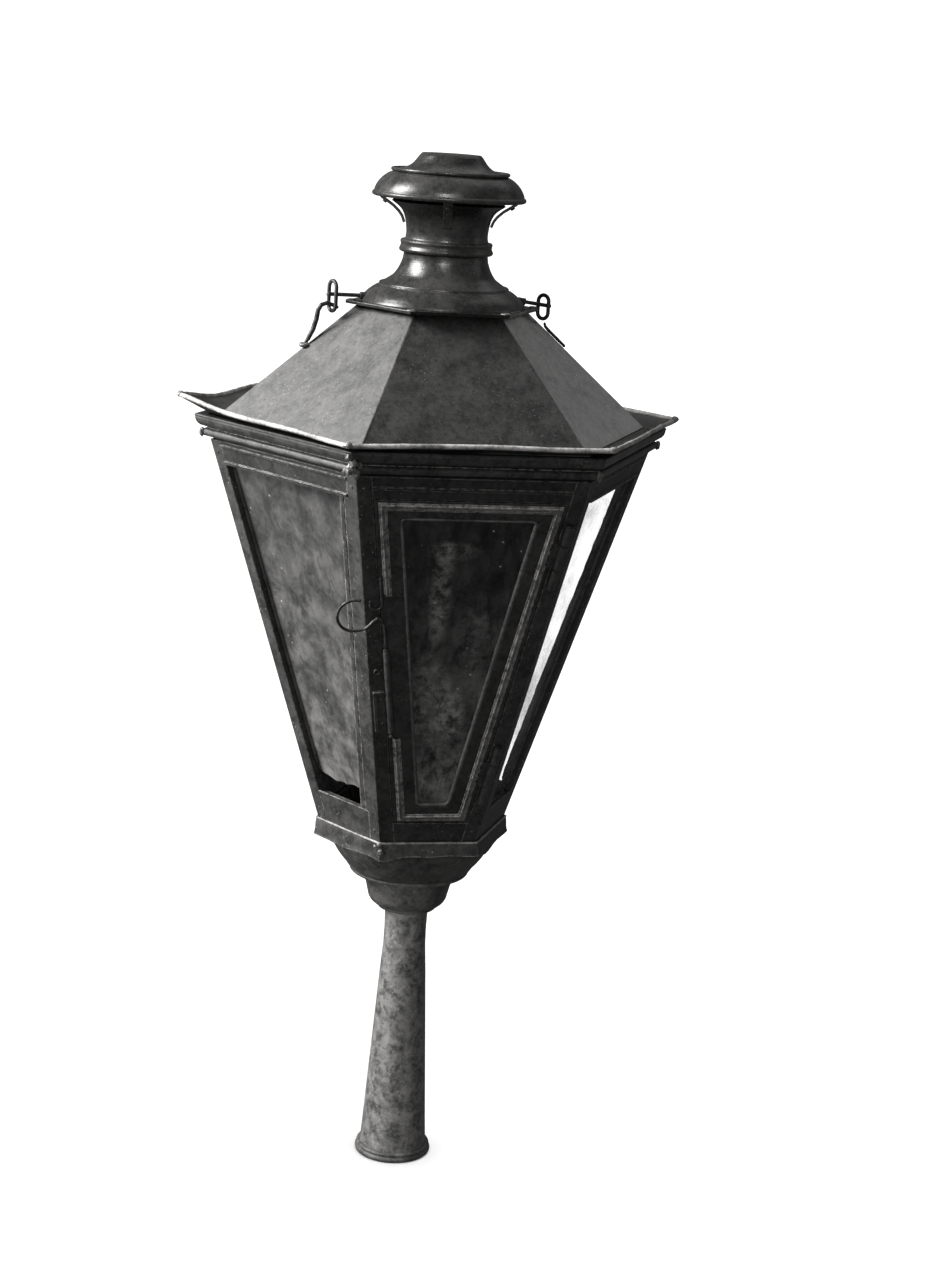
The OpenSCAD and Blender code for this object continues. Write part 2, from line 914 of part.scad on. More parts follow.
module burner_tips() {
  z = z_body + burner_up;
  color("#e6e0d2")
    for (i = [0:tip_n - 1])
      rotate([0, 0, 30 + i*360/tip_n])
        translate([13, 0, z + 8.85])
          cylinder(h = 22, r = 3.4);
}

stem_tube();
foot_ring();
stem_collar();
lower_cup();
ledge_ring();
upper_bowl();
base_flange();
corner_post(0);  // corner_post_1
corner_post(1);  // corner_post_2
corner_post(2);  // corner_post_3
corner_post(3);  // corner_post_4
corner_post(4);  // corner_post_5
corner_post_latch();  // corner_post_6
bottom_rails();
door_sill();
frieze_rails();
door_header();
door_stops();
pane(1, z_body + 18);  // pane_right_front
pane(2, z_body + 18);  // pane_right_back
pane(3, z_body + 18);  // pane_back
pane(4, z_body + 18);  // pane_left_back
pane(5, z_body + rail_low + slot_h);  // pane_left_front
cornice_lower();
cornice_upper();
rim_gutter();
roof_panels();
chimney_plate();
chimney_dome();
neck_ring();
chimney_trumpet();
cap_straps();
cap_rivets();
cap_dome();
cap_crown();
hinge_leaf(hinge_v(0));  // hinge_leaf_upper
hinge_leaf(hinge_v(1));  // hinge_leaf_lower
hinge_pins();
door_frame();
door_bead();
door_glass();
glass_tabs();
hinge_strap(hinge_v(0));  // hinge_strap_upper
hinge_strap(hinge_v(1));  // hinge_strap_lower
latch_tube();
latch_wire();
keeper_clip();
keeper_eye();
keeper_plate();
pin_lugs();
cotter_left();
cotter_right();
link_left();
link_right();
roof_hooks();
supply_pipe();
cock_body();
cock_lever();
burner_cup();
burner_tips();
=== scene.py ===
import json
import math

import bmesh
import bpy
from mathutils import Matrix, Vector, noise


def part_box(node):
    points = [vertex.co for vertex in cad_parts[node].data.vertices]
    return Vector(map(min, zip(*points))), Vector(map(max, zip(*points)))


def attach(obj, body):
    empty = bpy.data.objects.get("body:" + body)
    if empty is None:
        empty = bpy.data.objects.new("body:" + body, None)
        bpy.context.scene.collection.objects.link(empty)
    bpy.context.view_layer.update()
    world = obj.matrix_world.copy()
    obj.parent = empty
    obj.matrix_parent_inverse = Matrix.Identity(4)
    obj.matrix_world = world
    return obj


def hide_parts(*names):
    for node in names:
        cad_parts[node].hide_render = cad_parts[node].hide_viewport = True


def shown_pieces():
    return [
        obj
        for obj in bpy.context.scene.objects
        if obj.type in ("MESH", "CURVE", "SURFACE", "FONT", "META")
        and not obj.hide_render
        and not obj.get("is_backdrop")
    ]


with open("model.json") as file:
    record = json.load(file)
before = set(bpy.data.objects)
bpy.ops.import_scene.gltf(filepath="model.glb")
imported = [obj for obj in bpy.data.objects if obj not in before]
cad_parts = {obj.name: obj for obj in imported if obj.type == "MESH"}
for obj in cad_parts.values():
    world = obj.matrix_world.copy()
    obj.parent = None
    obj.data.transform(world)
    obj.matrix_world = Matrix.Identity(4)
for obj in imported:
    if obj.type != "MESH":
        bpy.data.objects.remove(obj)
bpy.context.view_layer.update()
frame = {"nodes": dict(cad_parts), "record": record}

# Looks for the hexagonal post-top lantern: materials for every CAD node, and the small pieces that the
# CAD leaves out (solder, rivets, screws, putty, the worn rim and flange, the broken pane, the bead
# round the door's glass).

nodes = frame["nodes"]

# ---------------------------------------------------------------- sizes, in metres, from the frame
# Z_ is a height, R_ a distance from the axis to a corner and A_ one to the middle of a side.
MM = 0.001
SIXTH = math.radians(60)
COS30 = math.cos(math.radians(30))
TAN30 = math.tan(math.radians(30))


def reach(node, level):
    """How far from the axis a node goes at a given height."""
    points = [p.co for p in nodes[node].data.vertices if abs(p.co.z - level) < 0.5 * MM]
    return max(math.hypot(p.x, p.y) for p in points)


post_low, post_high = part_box("corner_post_2")
Z_BODY = post_low.z
Z_TOP = post_high.z
R_LOW = reach("corner_post_2", Z_BODY)
R_TOP = reach("corner_post_2", Z_TOP)
flange_low, flange_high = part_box("base_flange")
roof_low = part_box("roof_panels")[0]
plate_low, plate_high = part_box("chimney_plate")
rim_low, rim_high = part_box("rim_gutter")
ROLL = 2.6 * MM    # from the middle of the rim's rolled edge to its outside
Z_RIM = rim_high.z - ROLL
A_RIM = -rim_low.y - ROLL
A_ROOF = -roof_low.y
A_TOP = COS30 * R_TOP
TILT = math.atan(COS30 * (R_TOP - R_LOW) / (Z_TOP - Z_BODY))
LEAN = (R_TOP - R_LOW) / 2 / (Z_TOP - Z_BODY) * math.cos(TILT)
UP = Vector((0, 0, 1))
SHARP = math.radians(40)


# ---------------------------------------------------------------- materials
class Look:
    """A Principled material, and short ways to add nodes to it. Lengths are in metres."""

    def __init__(self, name, **sockets):
        self.mat = bpy.data.materials.new(name)
        self.mat.use_nodes = True
        self.tree = self.mat.node_tree
        self.shader = self.tree.nodes["Principled BSDF"]
        self.place = self.tree.nodes.new("ShaderNodeTexCoord").outputs["Object"]
        for socket, value in sockets.items():
            self.shader.inputs[socket.replace("_", " ")].default_value = value

    def put(self, socket, value):
        """Links value to the socket if it is one itself, and sets the socket to it otherwise."""
        if isinstance(value, bpy.types.NodeSocket):
            self.tree.links.new(value, socket)
        elif value is not None:
            socket.default_value = value

    def set(self, name, value):
        self.put(self.shader.inputs[name], value)

    def stretched(self, x, y, z):
        node = self.tree.nodes.new("ShaderNodeMapping")
        node.inputs["Scale"].default_value = (x, y, z)
        self.put(node.inputs["Vector"], self.place)
        return node.outputs["Vector"]

    def noise(self, size, detail=4.0, rough=0.55, where=None, twist=0.0):
        """Smooth noise whose features are about size across."""
        node = self.tree.nodes.new("ShaderNodeTexNoise")
        self.put(node.inputs["Vector"], where or self.place)
        node.inputs["Scale"].default_value = 1.0 / size
        node.inputs["Detail"].default_value = detail
        node.inputs["Roughness"].default_value = rough
        node.inputs["Distortion"].default_value = twist
        return node.outputs["Fac"]

    def cells(self, size):
        """The distance to the nearest of points that are about size apart."""
        node = self.tree.nodes.new("ShaderNodeTexVoronoi")
        self.put(node.inputs["Vector"], self.place)
        node.inputs["Scale"].default_value = 1.0 / size
        return node.outputs["Distance"]

    def ramp(self, value, low, high, to_low=0.0, to_high=1.0):
        """Maps value from low..high to to_low..to_high, smoothly and clamped."""
        node = self.tree.nodes.new("ShaderNodeMapRange")
        node.interpolation_type = "SMOOTHSTEP"
        self.put(node.inputs["Value"], value)
        for name, number in (("From Min", low), ("From Max", high), ("To Min", to_low), ("To Max", to_high)):
            node.inputs[name].default_value = number
        return node.outputs["Result"]

    def maths(self, kind, a, b=None, clamp=False):
        node = self.tree.nodes.new("ShaderNodeMath")
        node.operation = kind
        node.use_clamp = clamp
        self.put(node.inputs[0], a)
        self.put(node.inputs[1], b)
        return node.outputs[0]

    def blend(self, share, a, b):
        """Colour a where share is 0 and b where it is 1; a and b are colours or sockets."""
        node = self.tree.nodes.new("ShaderNodeMix")
        node.data_type = "RGBA"
        self.put(node.inputs["Factor"], share)
        self.put(node.inputs["A"], a)
        self.put(node.inputs["B"], b)
        return node.outputs["Result"]

    def part(self, axis):
        node = self.tree.nodes.new("ShaderNodeSeparateXYZ")
        self.put(node.inputs[0], self.place)
        return node.outputs[axis]

    def rounded(self, radius):
        """The normal as if every edge had this radius."""
        node = self.tree.nodes.new("ShaderNodeBevel")
        node.samples = 4
        node.inputs["Radius"].default_value = radius
        return node.outputs["Normal"]

    def edges(self, radius):
        """1 along outer and inner edges, 0 on flat stretches."""
        shape = self.tree.nodes.new("ShaderNodeNewGeometry")
        dot = self.tree.nodes.new("ShaderNodeVectorMath")
        dot.operation = "DOT_PRODUCT"
        self.put(dot.inputs[0], self.rounded(radius))
        self.put(dot.inputs[1], shape.outputs["Normal"])
        return self.ramp(self.maths("SUBTRACT", 1.0, dot.outputs["Value"]), 0.02, 0.25)

    def bump(self, height, distance, strength=1.0, over=None):
        node = self.tree.nodes.new("ShaderNodeBump")
        node.inputs["Strength"].default_value = strength
        node.inputs["Distance"].default_value = distance
        self.put(node.inputs["Height"], height)
        if over is not None:
            self.put(node.inputs["Normal"], over)
        return node.outputs["Normal"]


def grey(value, warm=0.0):
    """A grey of this brightness; warm tints it towards brown."""
    return (value * (1 + warm), value, value * (1 - 1.3 * warm), 1.0)


def worn_metal(name, dark, light, bare, rough=(0.42, 0.62), wear=0.6, grain=0.0009, mottle=0.035,
               specks=0.25, streaks=0.35, metallic=0.0, edge=0.0012, pits=0.00025, rounding=0.001):
    """Old painted or patinated metal: mottled, streaked down its height, specked, bright on its edges.
    dark, light and bare are the brightness of its grime, its coat and its rubbed edges; mottle, grain,
    edge, pits and rounding are lengths; wear, specks and streaks are shares. In the looks of the rim
    wire, the door's bead and the bright lines, the pale coat and edges are partly painted highlight."""
    k = Look(name, Metallic=metallic)
    big = k.noise(mottle, 6, 0.62, twist=0.6)
    base = k.blend(k.ramp(big, 0.32, 0.68), grey(dark, 0.01), grey(light, 0.02))
    # pale and dark runs down its height
    runs = k.noise(0.012, 5, 0.6, where=k.stretched(1.0, 1.0, 0.12))
    base = k.blend(k.ramp(runs, 0.5, 0.78, 0.0, streaks), base, grey(light * 1.5, 0.02))
    base = k.blend(k.ramp(runs, 0.44, 0.24, 0.0, streaks), base, grey(dark * 0.45))
    # fine grain, then grime and pale bloom over it
    fine = k.noise(grain * 3, 3, 0.7)
    base = k.blend(k.ramp(fine, 0.35, 0.7, 0.0, 0.35), base, grey(light * 1.25, 0.02))
    soot = k.noise(0.005, 5, 0.72)
    base = k.blend(k.ramp(soot, 0.5, 0.68, 0.0, 0.6), base, grey(dark * 0.4))
    base = k.blend(k.ramp(soot, 0.45, 0.3, 0.0, 0.5), base, grey(light * 1.7, 0.02))
    # small dull specks in patches, then fewer and brighter ones, then the rubbed edges
    dust = k.maths("MULTIPLY", k.ramp(k.cells(0.0042), 0.2, 0.1), k.ramp(k.noise(0.028, 4), 0.5, 0.64))
    base = k.blend(k.maths("MULTIPLY", dust, specks), base, grey(bare * 0.7))
    spots = k.ramp(k.cells(0.009), 0.09, 0.03)
    patch = k.ramp(k.noise(0.05, 2), 0.48, 0.66)
    base = k.blend(k.maths("MULTIPLY", k.maths("MULTIPLY", spots, patch), specks), base, grey(bare))
    rub = k.ramp(k.noise(0.006, 4, 0.7), 0.36, 0.62)
    worn = k.maths("MULTIPLY", k.maths("MULTIPLY", k.edges(edge), rub), wear)
    base = k.blend(worn, base, grey(bare, 0.03))
    k.set("Base Color", base)
    k.set("Roughness", k.maths("SUBTRACT", k.ramp(big, 0.3, 0.7, rough[0], rough[1]),
                               k.maths("MULTIPLY", worn, 0.12)))
    dents = k.bump(k.noise(0.07, 2, 0.5), 0.004, 0.5, over=k.rounded(rounding))
    k.set("Normal", k.bump(k.maths("ADD", fine, k.maths("MULTIPLY", k.noise(grain, 2), 0.5)), pits, 0.6,
                           over=dents))
    k.set("Specular IOR Level", 0.42)
    return k.mat


def soiled_glass(name, clear, soiled, cover, blotch, streak, rough=(0.12, 0.5), low=1.0, high=1.0,
                 stains=()):
    """A pane: cover is (least, most) opacity, blotch the size of its deposits; low and high are how
    much of its dirt shows at the foot and at the head of the body; stains are light patches, each
    (x, z, half width, half height, strength). The first tone is its colour where it has no dirt; on the
    door's opaque pane that near-black tone is painted shade for the dark inside of the lantern."""
    k = Look(name, IOR=1.45)
    cloud = k.noise(blotch, 9, 0.72, twist=0.25)
    drops = k.noise(0.02, 8, 0.75, where=k.stretched(1.0, 1.0, 0.16), twist=0.2)
    dirt = k.maths("ADD", k.maths("MULTIPLY", k.ramp(cloud, 0.36, 0.68), 1.0 - streak),
                   k.maths("MULTIPLY", k.ramp(drops, 0.42, 0.72), streak), clamp=True)
    level = k.ramp(k.part("Z"), Z_BODY + 60 * MM, Z_TOP - 60 * MM, low, high)
    dirt = k.maths("MULTIPLY", dirt, level, clamp=True)
    mottled = k.ramp(k.noise(0.011, 6, 0.75), 0.38, 0.66)
    for x, z, wide, tall, strength in stains:
        across = k.maths("DIVIDE", k.maths("SUBTRACT", k.part("X"), x), wide)
        along = k.maths("DIVIDE", k.maths("SUBTRACT", k.part("Z"), z), tall)
        away = k.maths("ADD", k.maths("MULTIPLY", across, across), k.maths("MULTIPLY", along, along))
        patch = k.maths("MULTIPLY", k.ramp(away, 1.0, 0.0, 0.0, strength), mottled)
        dirt = k.maths("ADD", dirt, patch, clamp=True)
    specks = k.ramp(k.cells(0.011), 0.13, 0.04)
    sparse = k.ramp(k.noise(0.06, 2), 0.5, 0.62)
    base = k.blend(dirt, grey(clear), grey(soiled, 0.02))
    base = k.blend(k.maths("MULTIPLY", specks, sparse), base, grey(min(1.0, soiled * 1.9)))
    ring = k.ramp(k.noise(0.014, 5, 0.7, where=k.stretched(1.0, 1.0, 0.5), twist=0.8), 0.56, 0.63)
    base = k.blend(k.maths("MULTIPLY", ring, 0.5), base, grey(clear * 0.6))
    k.set("Base Color", base)
    k.set("Alpha", k.ramp(dirt, 0.0, 1.0, cover[0], cover[1]))
    k.set("Roughness", k.ramp(dirt, 0.0, 1.0, rough[0], rough[1]))
    waves = k.bump(k.noise(0.05, 2), 0.002, 0.4)
    k.set("Normal", k.bump(k.noise(0.004, 4), 0.00015, 0.5, over=waves))
    return k.mat


DOOR_STAINS = (
    (-0.019, 0.665, 0.013, 0.075, 0.7), (0.006, 0.532, 0.018, 0.034, 1.2),
    (-0.02, 0.55, 0.03, 0.06, 0.5), (0.0, 0.47, 0.035, 0.045, 0.45),
    (-0.012, 0.71, 0.035, 0.012, 0.5), (0.02, 0.62, 0.03, 0.05, 0.3))

LOOKS = {}
LOOKS["frame"] = worn_metal("weathered_frame", 0.018, 0.066, 0.6, wear=0.95, specks=0.9, edge=0.0018,
                            mottle=0.022)
LOOKS["post"] = worn_metal("weathered_posts", 0.018, 0.066, 0.6, wear=0.85, specks=0.9, edge=0.002,
                           rounding=0.0035, mottle=0.022)
LOOKS["frieze"] = worn_metal("weathered_frieze", 0.012, 0.045, 0.5, wear=0.9, specks=0.6, edge=0.0016,
                             mottle=0.02)
LOOKS["door"] = worn_metal("weathered_door", 0.018, 0.062, 0.45, wear=0.8, specks=0.6, rounding=0.0016,
                           mottle=0.02)
# The door's bead is paler than the door: partly rubbed paint, partly painted highlight on its raised edges.
LOOKS["bead"] = worn_metal("door_bead_metal", 0.04, 0.15, 0.8, wear=1.0, specks=0.6, edge=0.0022,
                           mottle=0.02, rough=(0.3, 0.45))
# The rim wire is pale all over: partly rubbed metal, partly painted highlight for the bright line along the
# rim's edge.
LOOKS["rim"] = worn_metal("rubbed_and_highlit_rim", 0.1, 0.55, 0.8, wear=0.9, mottle=0.03, specks=0.4,
                          rough=(0.35, 0.5), edge=0.0016)
LOOKS["cornice"] = worn_metal("weathered_cornice", 0.02, 0.078, 0.6, wear=1.0, rough=(0.3, 0.5),
                              specks=0.5, edge=0.0016, mottle=0.022)
LOOKS["roof"] = worn_metal("roof_sheet", 0.052, 0.148, 0.5, wear=0.5, mottle=0.03, specks=1.0,
                           streaks=0.25, rough=(0.45, 0.62))
LOOKS["spun"] = worn_metal("spun_sheet", 0.03, 0.075, 0.5, wear=0.7, rough=(0.2, 0.36), metallic=0.3,
                           streaks=0.2, specks=0.3)
LOOKS["iron"] = worn_metal("cast_cup", 0.04, 0.12, 0.4, wear=0.5, mottle=0.022, specks=0.7,
                           grain=0.0014, pits=0.0005, rough=(0.4, 0.6))
LOOKS["stem"] = worn_metal("cast_stem", 0.05, 0.26, 0.5, wear=0.5, mottle=0.013, specks=0.9,
                           grain=0.0014, pits=0.0005, rough=(0.4, 0.6), streaks=0.5)
LOOKS["foot"] = worn_metal("cast_foot", 0.05, 0.15, 0.5, wear=0.8, mottle=0.02, specks=0.7,
                           grain=0.0014, pits=0.0005, rough=(0.4, 0.6))
# Pale look for thin bright lines: partly rubbed metal, partly painted highlight.
LOOKS["bright"] = worn_metal("rubbed_line_and_highlight", 0.05, 0.42, 0.7, wear=0.9, mottle=0.03, specks=0.4,
                             metallic=0.2, rough=(0.3, 0.46), edge=0.0016)
LOOKS["fitting"] = worn_metal("fitting_metal", 0.03, 0.07, 0.5, wear=0.8, edge=0.0006, mottle=0.012)
LOOKS["wire"] = worn_metal("wire_steel", 0.018, 0.07, 0.5, wear=0.5, metallic=0.3, edge=0.0004,
                           mottle=0.006, rough=(0.3, 0.5))
LOOKS["brass"] = worn_metal("tarnished_brass", 0.12, 0.22, 0.5, wear=0.5, metallic=0.8, edge=0.0006,
                            mottle=0.012, rough=(0.28, 0.45))
LOOKS["solder"] = worn_metal("old_solder", 0.1, 0.24, 0.5, wear=0.4, metallic=0.4, mottle=0.01,
                             rough=(0.35, 0.55))
LOOKS["ceramic"] = worn_metal("burner_ceramic", 0.5, 0.7, 0.8, wear=0.2, rough=(0.4, 0.5), specks=0.1)
LOOKS["glass_clear"] = soiled_glass("dusty_glass", 0.8, 0.75, (0.05, 0.3), 0.09, 0.3)
LOOKS["glass_left"] = soiled_glass("grey_glass", 0.045, 0.25, (0.985, 1.0), 0.035, 0.3, low=1.15, high=0.6,
                                   rough=(0.3, 0.55))
# The door's pane is opaque and near-black as painted shade for the lantern's dark inside; its light patches
# are stains.
LOOKS["glass_door"] = soiled_glass("shade_painted_door_glass", 0.011, 0.38, (0.99, 1.0), 0.04, 0.5, low=1.0, high=0.2,
                                   stains=DOOR_STAINS)
LOOKS["putty"] = worn_metal("glazing_putty", 0.06, 0.16, 0.3, wear=0.3, rough=(0.6, 0.85))

LOOK_OF_SLOT = {
    "stem_iron": "iron", "frame_metal": "frame", "cornice_metal": "cornice", "roof_sheet": "roof",
    "spun_metal": "spun", "clear_glass": "glass_clear", "soiled_glass": "glass_left",
    "fitting_metal": "fitting", "wire_steel": "wire", "gas_brass": "brass", "tip_ceramic": "ceramic"}
LOOK_OF_NODE = {
    "door_glass": "glass_door", "door_frame": "door", "door_bead": "bead", "pane_back": "glass_left",
    "pane_left_back": "glass_left", "stem_tube": "stem", "foot_ring": "foot", "frieze_rails": "frieze",
    "door_header": "frieze"}
for number in range(1, 7):
    LOOK_OF_NODE[f"corner_post_{number}"] = "post"
for row in frame["record"]["subparts"]:
    mesh = nodes[row["node"]].data
    mesh.materials.clear()
    mesh.materials.append(LOOKS[LOOK_OF_NODE.get(row["node"], LOOK_OF_SLOT[row["material_slot"]])])


# ---------------------------------------------------------------- shapes: (points, faces) of closed skins
def skin(rings, loop=False):
    """A closed skin over equal rings of points. loop joins the last ring to the first."""
    count = len(rings[0])
    faces = []
    for i in range(len(rings) if loop else len(rings) - 1):
        a = i * count
        b = (i + 1) % len(rings) * count
        for j in range(count):
            n = (j + 1) % count
            faces.append((a + j, a + n, b + n, b + j))
    if not loop:
        last = (len(rings) - 1) * count
        faces.append(tuple(range(count)))
        faces.append(tuple(range(last, last + count)))
    return [p for ring in rings for p in ring], faces


def tube(path, radius, up, uneven=0.15, size=6 * MM, closed=False, sides=10, flat=1.0):
    """An uneven bead along a path. up is a direction across the path, flat its height over its width,
    and size the length of its unevenness. An open bead tapers at its ends."""
    rings = []
    for i, p in enumerate(path):
        before = path[i - 1] if closed or i > 0 else p
        after = path[(i + 1) % len(path)] if closed or i < len(path) - 1 else p
        ahead = (after - before).normalized()
        across = ahead.cross(up).normalized()
        above = across.cross(ahead)
        end = 0 if closed else max(0.0, 1 - min(i, len(path) - 1 - i) / 2)
        r = radius * (1 + uneven * noise.noise(p / size)) * math.sqrt(1 - 0.92 * end * end)
        rings.append([p + across * r * math.cos(t) + above * r * flat * math.sin(t)
                      for t in (2 * math.pi * j / sides for j in range(sides))])
    return skin(rings, closed)


def lump(middle, radii, turn=None, rough=0.25, size=7 * MM):
    """An uneven flattened drop of solder."""
    rings = []
    for i in range(1, 10):
        tip = math.pi * i / 10
        ring = []
        for j in range(14):
            t = 2 * math.pi * j / 14
            way = Vector((math.sin(tip) * math.cos(t), math.sin(tip) * math.sin(t), math.cos(tip)))
            grow = 1 + rough * noise.noise(way * 1.4 + middle / size)
            p = Vector((way.x * radii[0], way.y * radii[1], way.z * radii[2])) * grow
            ring.append(middle + (turn @ p if turn else p))
        rings.append(ring)
    return skin(rings)


def stud(place, out, radius, height, slot=False):
    """A round head on a surface whose normal is out; slot cuts a screwdriver's groove."""
    turn = out.to_track_quat("Z", "Y").to_matrix()
    rings = []
    for r, z in ((1.0, -0.6), (1.0, 0.25), (0.9, 0.62), (0.62, 0.9), (0.3, 1.0)):
        ring = []
        for j in range(16):
            t = 2 * math.pi * j / 16
            p = Vector((r * radius * math.cos(t), r * radius * math.sin(t), z * height))
            if slot and abs(p.x) < 0.22 * radius and z > 0.5:
                p.z -= 0.5 * height
            ring.append(place + turn @ p)
        rings.append(ring)
    return skin(rings)


def piece(name, skins, body, look, stands_for=()):
    """One object of the visual model, from closed skins."""
    points = []
    faces = []
    for some_points, some_faces in skins:
        start = len(points)
        points += some_points
        faces += [tuple(start + n for n in face) for face in some_faces]
    mesh = bpy.data.meshes.new(name)
    mesh.from_pydata(points, [], faces)
    work = bmesh.new()
    work.from_mesh(mesh)
    bmesh.ops.recalc_face_normals(work, faces=work.faces)
    work.to_mesh(mesh)
    work.free()
    mesh.shade_smooth()
    mesh.set_sharp_from_angle(angle=SHARP)
    mesh.materials.append(LOOKS[look])
    obj = bpy.data.objects.new(name, mesh)
    bpy.context.scene.collection.objects.link(obj)
    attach(obj, body)
    if stands_for:
        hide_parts(*stands_for)


def turned(k):
    """A turn about the axis by k sixths."""
    return Matrix.Rotation(SIXTH * k, 3, "Z")


def within(value):
    """The value, kept between 0 and 1."""
    return max(0.0, min(1.0, value))


def half(v):
    """Half the width of a tilted face, v up it."""
    return R_LOW / 2 + LEAN * v


def up_face(z):
    """Distance up a tilted face from the body's foot to a height."""
    return (z - Z_BODY) / math.cos(TILT)


def on_face(k, u, v, w):
    """A point on face k (0 is the door's): u to the right, v up the face, w outwards."""
    y = -(COS30 * R_LOW + v * math.sin(TILT) + w * math.cos(TILT))
    z = Z_BODY + v * math.cos(TILT) - w * math.sin(TILT)
    return turned(k) @ Vector((u, y, z))


def face_out(k):
    """The outward direction of face k."""
    return turned(k) @ Vector((0, -math.cos(TILT), -math.sin(TILT)))


def round_hexagon(profile, steps, bend):
    """The profile [(distance, height)] swept round the hexagon, each point moved by bend."""
    rings = []
    for k in range(6):
        for i in range(steps):
            s = 2 * i / steps - 1
            rings.append([bend(turned(k) @ Vector((s * d * TAN30, -d, z)), d) for d, z in profile])
    return rings


def corner(degrees, radius, z=0.0):
    """The point at this angle about the axis and distance from it."""
    t = math.radians(degrees)
    return Vector((radius * math.cos(t), radius * math.sin(t), z))


def near(p, place, width):
    """1 over place, falling smoothly to 0 around it."""
    return math.exp(-((p.x - place.x) ** 2 + (p.y - place.y) ** 2) / width ** 2)


# ---------------------------------------------------------------- rim and flange, worn out of true
RIM_LEFT = corner(180, A_RIM / COS30)
RIM_FRONT = corner(-120, A_RIM / COS30)


def bend_rim(p, d):
    """The rim's outer edge waves, its left corner is bent up and out, its front corner sags."""
    f = within((d - A_ROOF) / (A_RIM - A_ROOF))
    out = Vector((p.x, p.y, 0)).normalized()
    left = near(p, RIM_LEFT, 46 * MM)
    sag = near(p, RIM_FRONT, 60 * MM)
    wave = noise.noise(p * 14) * 0.9 * MM + noise.noise(p * 45) * 0.35 * MM
    moved = p + out * f * (6 * MM * left + 1.3 * MM * noise.noise(p * 20 + Vector((5, 0, 0))))
    moved.z += f * (9 * MM * left - 2 * MM * sag + wave)
    return moved


def make_rim():
    """The sheet's section is (distance, mm over the body's top), once round the sheet."""
    sheet = [(A_ROOF - 1 * MM, 22.6), (A_TOP + 1.2 * MM, 24.9), (A_TOP + 8 * MM, 27.4),
             (A_TOP + 15 * MM, 30.0), (A_RIM + 0.4 * MM, 32.9), (A_RIM - 0.6 * MM, 34.4),
             (A_TOP + 14 * MM, 31.8), (A_TOP + 7 * MM, 29.4), (A_TOP, 26.9), (A_ROOF - 1 * MM, 24.6)]
    sheet = [(d, Z_TOP + z * MM) for d, z in sheet]
    piece("rim_sheet", [skin(round_hexagon(sheet, 22, bend_rim), True)], "lantern",
          "cornice", ("rim_gutter",))
    # The rolled wire takes the pale rim look, which is partly painted highlight.
    path = [ring[0] for ring in round_hexagon([(A_RIM, Z_RIM)], 30, bend_rim)]
    piece("rim_wire", [tube(path, 2.4 * MM, UP, 0.14, 9 * MM, True, 12)], "lantern",
          "rim")


def bend_flange(p, d):
    """The lip under the door waves and flares, and its front left corner is knocked in."""
    drop = within((Z_BODY - p.z) / (Z_BODY - flange_low.z))
    edge = within((d - 60 * MM) / (25 * MM))
    out = Vector((p.x, p.y, 0)).normalized()
    knock = near(p, corner(-120, R_LOW), 22 * MM)
    lift = near(p, corner(-60, R_LOW), 30 * MM)
    front = within((-p.y - 70 * MM) / (15 * MM)) * (1 - near(p, corner(-120, R_LOW), 30 * MM))
    wave = 1.2 * MM * noise.noise(p * 28)
    moved = p + out * edge * (drop * (2.2 * MM + wave - 5 * MM * knock + 1.5 * MM * lift) - 0.8 * MM * knock)
    ripple = 2.6 * MM * noise.noise(p * 32 + Vector((0, 9, 0)))
    moved.z += edge * drop * (ripple + 4 * MM * front - 1.5 * MM * knock)
    return moved


def make_flange():
    """The flange with its turned-down lip, drops of solder on its front left corner, and the bright
    line along its fold, a pale bead that is partly rubbed metal and partly painted highlight."""
    side = -flange_low.y
    sheet = 3 * MM
    in_bore = 9 * MM
    flat = 50 * MM
    low = flange_low.z
    profile = [(in_bore, Z_BODY), (flat, Z_BODY), (side - 3 * MM, Z_BODY),
               (side - 0.8 * MM, Z_BODY - 0.2 * MM), (side, Z_BODY - 1.2 * MM),
               (side, Z_BODY - 7 * MM), (side - 0.4 * MM, Z_BODY - 12 * MM),
               (side, low + 2.2 * MM), (side + 0.4 * MM, low + 0.8 * MM), (side - 0.4 * MM, low),
               (side - 1.4 * MM, low + 0.6 * MM), (side - 1.9 * MM, low + 3 * MM),
               (side - 2.1 * MM, Z_BODY - 8 * MM), (side - 2.2 * MM, Z_BODY - sheet),
               (flat, Z_BODY - sheet), (in_bore, Z_BODY - sheet)]
    piece("flange_worn", [skin(round_hexagon(profile, 18, bend_flange), True)], "lantern",
          "frame", ("base_flange",))
    drops = []
    turn = turned(-2)
    for along, down, size in ((0, 3, 3.2), (5, 5, 2.6), (-5, 7, 2.8), (1, 11, 3.4), (9, 3, 2.2)):
        shift = Vector((-abs(along) * 0.6 * MM, along * MM, 0))
        place = corner(-120, flange_high.x - 2.5 * MM) + turn @ shift
        drops.append(lump(place + Vector((0, 0, Z_BODY - down * MM)),
                          (size * MM * 0.6, size * MM, size * MM), turn, 0.4, 5 * MM))
    piece("flange_repair", drops, "lantern", "solder")
    path = [ring[0] for ring in round_hexagon([(side - 0.3 * MM, Z_BODY - 0.9 * MM)], 24, bend_flange)]
    piece("flange_fold", [tube(path, 1.2 * MM, UP, 0.3, 8 * MM, True, 8)], "lantern",
          "bright")


